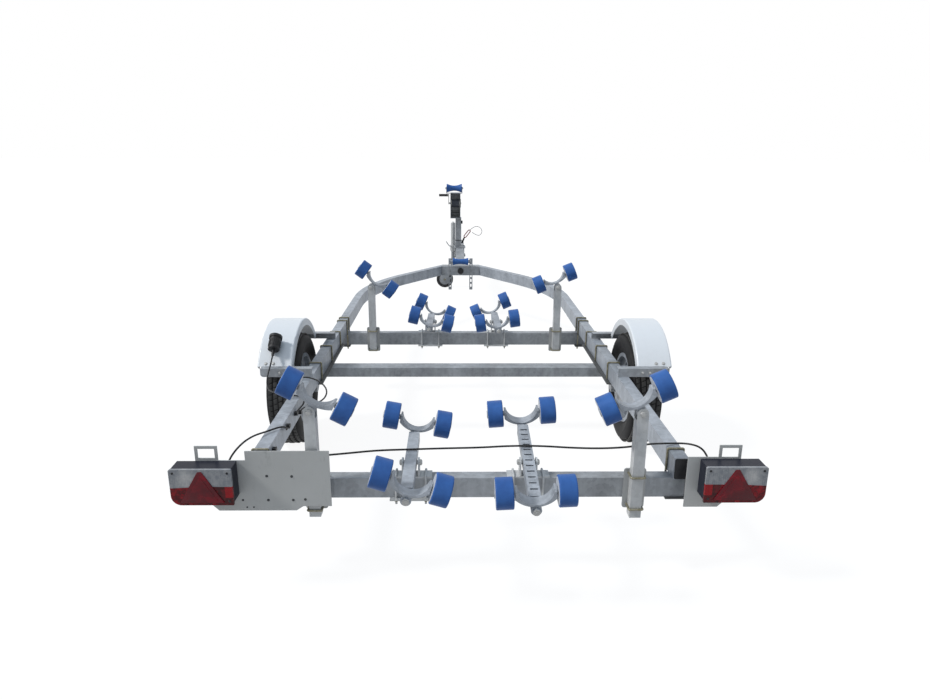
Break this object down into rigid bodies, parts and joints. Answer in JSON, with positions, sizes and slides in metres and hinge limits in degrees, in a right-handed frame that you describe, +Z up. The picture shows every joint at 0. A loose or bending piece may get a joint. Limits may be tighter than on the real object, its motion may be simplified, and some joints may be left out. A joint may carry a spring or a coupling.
{
  "type": "boat trailer",
  "caption": "Galvanised single-axle boat trailer with blue roller cradles on pivoting arms and posts, winch post with bow roller, rear lamps and jockey wheel.",
  "frame": {"origin": "on the ground under the middle of the trailer's bounding box", "axes": "+Y forward to the coupling, +X to the right, +Z up"},
  "size_m": [1.988, 5.9485, 1.113],
  "materials": {
    "galvanised_steel": "hot-dip galvanised, mottled",
    "zinc_steel": "yellow-passivated zinc",
    "blue_rubber": "blue moulded rubber",
    "tyre": "black rubber",
    "white_plastic": "white moulded plastic",
    "lamp_plastic": "red and clear lens on a black housing",
    "winch_metal": "black",
    "black_plastic": "black moulded plastic",
    "black_cable": "black sheathed cable"
  },
  "bodies": {
    "frame": {"side_rails": "galvanised_steel", "cross_members": "galvanised_steel", "drawbar": "galvanised_steel", "axle_beam": "galvanised_steel", "suspension_arms": "galvanised_steel", "mudguards": "white_plastic", "mudguard_brackets": "galvanised_steel", "rail_clamps": "zinc_steel", "roller_posts": "galvanised_steel", "post_clamps": "zinc_steel", "cradle_brackets": "galvanised_steel", "keel_roller_straps": "galvanised_steel", "winch_post": "galvanised_steel", "coupling_head": "galvanised_steel", "jockey_tube": "galvanised_steel", "lamps": "lamp_plastic", "lamp_brackets": "galvanised_steel", "wiring_cables": "black_cable", "cable_fittings": "black_plastic", "plug": "black_plastic", "breakaway_cable": "black_cable"},
    "left_wheel": {"left_tyre": "tyre", "left_rim": "galvanised_steel"},
    "right_wheel": {"right_tyre": "tyre", "right_rim": "galvanised_steel"},
    "rear_left_post_wishbone": {"rear_left_post_wishbone": "galvanised_steel"},
    "rear_left_post_rollers": {"rear_left_post_rollers": "blue_rubber"},
    "rear_right_post_wishbone": {"rear_right_post_wishbone": "galvanised_steel"},
    "rear_right_post_rollers": {"rear_right_post_rollers": "blue_rubber"},
    "front_left_post_wishbone": {"front_left_post_wishbone": "galvanised_steel"},
    "front_left_post_rollers": {"front_left_post_rollers": "blue_rubber"},
    "front_right_post_wishbone": {"front_right_post_wishbone": "galvanised_steel"},
    "front_right_post_rollers": {"front_right_post_rollers": "blue_rubber"},
    "rear_left_cradle_arm": {"rear_left_cradle_arm": "galvanised_steel"},
    "rear_left_fore_wishbone": {"rear_left_fore_wishbone": "galvanised_steel"},
    "rear_left_fore_rollers": {"rear_left_fore_rollers": "blue_rubber"},
    "rear_left_aft_wishbone": {"rear_left_aft_wishbone": "galvanised_steel"},
    "rear_left_aft_rollers": {"rear_left_aft_rollers": "blue_rubber"},
    "rear_right_cradle_arm": {"rear_right_cradle_arm": "galvanised_steel"},
    "rear_right_fore_wishbone": {"rear_right_fore_wishbone": "galvanised_steel"},
    "rear_right_fore_rollers": {"rear_right_fore_rollers": "blue_rubber"},
    "rear_right_aft_wishbone": {"rear_right_aft_wishbone": "galvanised_steel"},
    "rear_right_aft_rollers": {"rear_right_aft_rollers": "blue_rubber"},
    "front_left_cradle_arm": {"front_left_cradle_arm": "galvanised_steel"},
    "front_left_fore_wishbone": {"front_left_fore_wishbone": "galvanised_steel"},
    "front_left_fore_rollers": {"front_left_fore_rollers": "blue_rubber"},
    "front_left_aft_wishbone": {"front_left_aft_wishbone": "galvanised_steel"},
    "front_left_aft_rollers": {"front_left_aft_rollers": "blue_rubber"},
    "front_right_cradle_arm": {"front_right_cradle_arm": "galvanised_steel"},
    "front_right_fore_wishbone": {"front_right_fore_wishbone": "galvanised_steel"},
    "front_right_fore_rollers": {"front_right_fore_rollers": "blue_rubber"},
    "front_right_aft_wishbone": {"front_right_aft_wishbone": "galvanised_steel"},
    "front_right_aft_rollers": {"front_right_aft_rollers": "blue_rubber"},
    "keel_roller": {"keel_roller": "blue_rubber"},
    "bow_roller": {"bow_roller": "blue_rubber"},
    "winch_drum": {"winch_drum": "winch_metal"},
    "coupling_lever": {"coupling_lever": "galvanised_steel"},
    "jockey_leg": {"jockey_leg": "galvanised_steel"},
    "jockey_fork": {"jockey_fork": "galvanised_steel"},
    "jockey_wheel": {"jockey_wheel": "tyre"}
  },
  "joints": [
    {"name": "left_wheel_spin", "type": "hinge", "parent": "frame", "child": "left_wheel", "pos_m": [-0.89, -1.48121, 0.289], "axis": [1, 0, 0], "continuous": true},
    {"name": "right_wheel_spin", "type": "hinge", "parent": "frame", "child": "right_wheel", "pos_m": [0.89, -1.48121, 0.289], "axis": [1, 0, 0], "continuous": true},
    {"name": "rear_left_post_swing", "type": "hinge", "parent": "frame", "child": "rear_left_post_wishbone", "pos_m": [-0.54, -2.7122, 0.648], "axis": [0, 1, 0], "range_deg": [-68, 12]},
    {"name": "rear_left_post_rollers_spin", "type": "hinge", "parent": "rear_left_post_wishbone", "child": "rear_left_post_rollers", "pos_m": [-0.51277, -2.7122, 0.69921], "axis": [0.8829, 0, -0.4695], "continuous": true},
    {"name": "rear_right_post_swing", "type": "hinge", "parent": "frame", "child": "rear_right_post_wishbone", "pos_m": [0.586, -2.7122, 0.64], "axis": [0, 1, 0], "range_deg": [-15.5, 64.5]},
    {"name": "rear_right_post_rollers_spin", "type": "hinge", "parent": "rear_right_post_wishbone", "child": "rear_right_post_rollers", "pos_m": [0.56195, -2.7122, 0.69278], "axis": [0.91, 0, 0.4147], "continuous": true},
    {"name": "front_left_post_swing", "type": "hinge", "parent": "frame", "child": "front_left_post_wishbone", "pos_m": [-0.556, -0.76521, 0.676], "axis": [0, 1, 0], "range_deg": [-77, 3]},
    {"name": "front_left_post_rollers_spin", "type": "hinge", "parent": "front_left_post_wishbone", "child": "front_left_post_rollers", "pos_m": [-0.52109, -0.76521, 0.72232], "axis": [0.7986, 0, -0.6018], "continuous": true},
    {"name": "front_right_post_swing", "type": "hinge", "parent": "frame", "child": "front_right_post_wishbone", "pos_m": [0.576, -0.76521, 0.678], "axis": [0, 1, 0], "range_deg": [-17.5, 62.5]},
    {"name": "front_right_post_rollers_spin", "type": "hinge", "parent": "front_right_post_wishbone", "child": "front_right_post_rollers", "pos_m": [0.5538, -0.76521, 0.73159], "axis": [0.9239, 0, 0.3827], "continuous": true},
    {"name": "rear_left_cradle_pitch", "type": "hinge", "parent": "frame", "child": "rear_left_cradle_arm", "pos_m": [-0.206, -2.6612, 0.43], "axis": [1, 0, 0], "range_deg": [-20, 0]},
    {"name": "rear_left_fore_swing", "type": "hinge", "parent": "rear_left_cradle_arm", "child": "rear_left_fore_wishbone", "pos_m": [-0.206, -2.4062, 0.43], "axis": [0, 1, 0], "range_deg": [-46, 24]},
    {"name": "rear_left_fore_rollers_spin", "type": "hinge", "parent": "rear_left_fore_wishbone", "child": "rear_left_fore_rollers", "pos_m": [-0.19493, -2.4062, 0.48693], "axis": [0.9816, 0, -0.1908], "continuous": true},
    {"name": "rear_left_aft_swing", "type": "hinge", "parent": "rear_left_cradle_arm", "child": "rear_left_aft_wishbone", "pos_m": [-0.206, -2.91621, 0.43], "axis": [0, 1, 0], "range_deg": [-52, 18]},
    {"name": "rear_left_aft_rollers_spin", "type": "hinge", "parent": "rear_left_aft_wishbone", "child": "rear_left_aft_rollers", "pos_m": [-0.18904, -2.91621, 0.48547], "axis": [0.9563, 0, -0.2924], "continuous": true},
    {"name": "rear_right_cradle_pitch", "type": "hinge", "parent": "frame", "child": "rear_right_cradle_arm", "pos_m": [0.21, -2.6612, 0.43], "axis": [1, 0, 0], "range_deg": [-20, 0]},
    {"name": "rear_right_fore_swing", "type": "hinge", "parent": "rear_right_cradle_arm", "child": "rear_right_fore_wishbone", "pos_m": [0.21, -2.40869, 0.46549], "axis": [0, 0.9903, 0.1392], "range_deg": [-30.2, 39.8]},
    {"name": "rear_right_fore_rollers_spin", "type": "hinge", "parent": "rear_right_fore_wishbone", "child": "rear_right_fore_rollers", "pos_m": [0.20515, -2.41673, 0.52272], "axis": [0.9965, -0.0116, 0.0829], "continuous": true},
    {"name": "rear_right_aft_swing", "type": "hinge", "parent": "rear_right_cradle_arm", "child": "rear_right_aft_wishbone", "pos_m": [0.21, -2.91372, 0.39451], "axis": [0, 0.9903, 0.1392], "range_deg": [-32, 38]},
    {"name": "rear_right_aft_rollers_spin", "type": "hinge", "parent": "rear_right_aft_wishbone", "child": "rear_right_aft_rollers", "pos_m": [0.20697, -2.92178, 0.45187], "axis": [0.9986, -0.0073, 0.0518], "continuous": true},
    {"name": "front_left_cradle_pitch", "type": "hinge", "parent": "frame", "child": "front_left_cradle_arm", "pos_m": [-0.203, -0.7142, 0.446], "axis": [1, 0, 0], "range_deg": [-12, 18]},
    {"name": "front_left_fore_swing", "type": "hinge", "parent": "front_left_cradle_arm", "child": "front_left_fore_wishbone", "pos_m": [-0.203, -0.46025, 0.42289], "axis": [0, 0.9959, -0.0906], "range_deg": [-59, 11]},
    {"name": "front_left_fore_rollers_spin", "type": "hinge", "parent": "front_left_fore_wishbone", "child": "front_left_fore_rollers", "pos_m": [-0.17941, -0.45545, 0.47566], "axis": [0.9135, -0.0369, -0.4051], "continuous": true},
    {"name": "front_left_aft_swing", "type": "hinge", "parent": "front_left_cradle_arm", "child": "front_left_aft_wishbone", "pos_m": [-0.203, -0.96815, 0.46911], "axis": [0, 0.9959, -0.0906], "range_deg": [-49.5, 20.5]},
    {"name": "front_left_aft_rollers_spin", "type": "hinge", "parent": "front_left_aft_wishbone", "child": "front_left_aft_rollers", "pos_m": [-0.18848, -0.96307, 0.52503], "axis": [0.9681, -0.0227, -0.2493], "continuous": true},
    {"name": "front_right_cradle_pitch", "type": "hinge", "parent": "frame", "child": "front_right_cradle_arm", "pos_m": [0.207, -0.7142, 0.446], "axis": [1, 0, 0], "range_deg": [-12, 18]},
    {"name": "front_right_fore_swing", "type": "hinge", "parent": "front_right_cradle_arm", "child": "front_right_fore_wishbone", "pos_m": [0.207, -0.45958, 0.43221], "axis": [0, 0.9985, -0.0541], "range_deg": [-11.5, 58.5]},
    {"name": "front_right_fore_rollers_spin", "type": "hinge", "parent": "front_right_fore_wishbone", "child": "front_right_fore_rollers", "pos_m": [0.18387, -0.4567, 0.48532], "axis": [0.9171, 0.0216, 0.3982], "continuous": true},
    {"name": "front_right_aft_swing", "type": "hinge", "parent": "front_right_cradle_arm", "child": "front_right_aft_wishbone", "pos_m": [0.207, -0.96883, 0.45979], "axis": [0, 0.9985, -0.0541], "range_deg": [-26.5, 43.5]},
    {"name": "front_right_aft_rollers_spin", "type": "hinge", "parent": "front_right_aft_wishbone", "child": "front_right_aft_rollers", "pos_m": [0.19843, -0.96573, 0.51707], "axis": [0.989, 0.008, 0.1476], "continuous": true},
    {"name": "keel_roller_spin", "type": "hinge", "parent": "frame", "child": "keel_roller", "pos_m": [0, 1.22154, 0.505], "axis": [1, 0, 0], "continuous": true},
    {"name": "bow_roller_spin", "type": "hinge", "parent": "frame", "child": "bow_roller", "pos_m": [-0.057, 2.38979, 1.07], "axis": [1, 0, 0], "continuous": true},
    {"name": "winch_drum_spin", "type": "hinge", "parent": "frame", "child": "winch_drum", "pos_m": [-0.045, 2.4238, 0.915], "axis": [1, 0, 0], "continuous": true},
    {"name": "coupling_lever_lift", "type": "hinge", "parent": "frame", "child": "coupling_lever", "pos_m": [0, 2.85779, 0.4823], "axis": [-1, 0, 0], "range_deg": [0, 55]},
    {"name": "jockey_leg_slide", "type": "slide", "parent": "frame", "child": "jockey_leg", "axis": [0, 0, 1], "range_m": [0, 0.17]},
    {"name": "jockey_fork_swivel", "type": "hinge", "parent": "jockey_leg", "child": "jockey_fork", "pos_m": [-0.07, 2.5738, 0.188], "axis": [0, 0, 1], "continuous": true},
    {"name": "jockey_wheel_spin", "type": "hinge", "parent": "jockey_fork", "child": "jockey_wheel", "pos_m": [-0.16, 2.5738, 0.09], "axis": [0, 1, 0], "continuous": true}
  ]
}
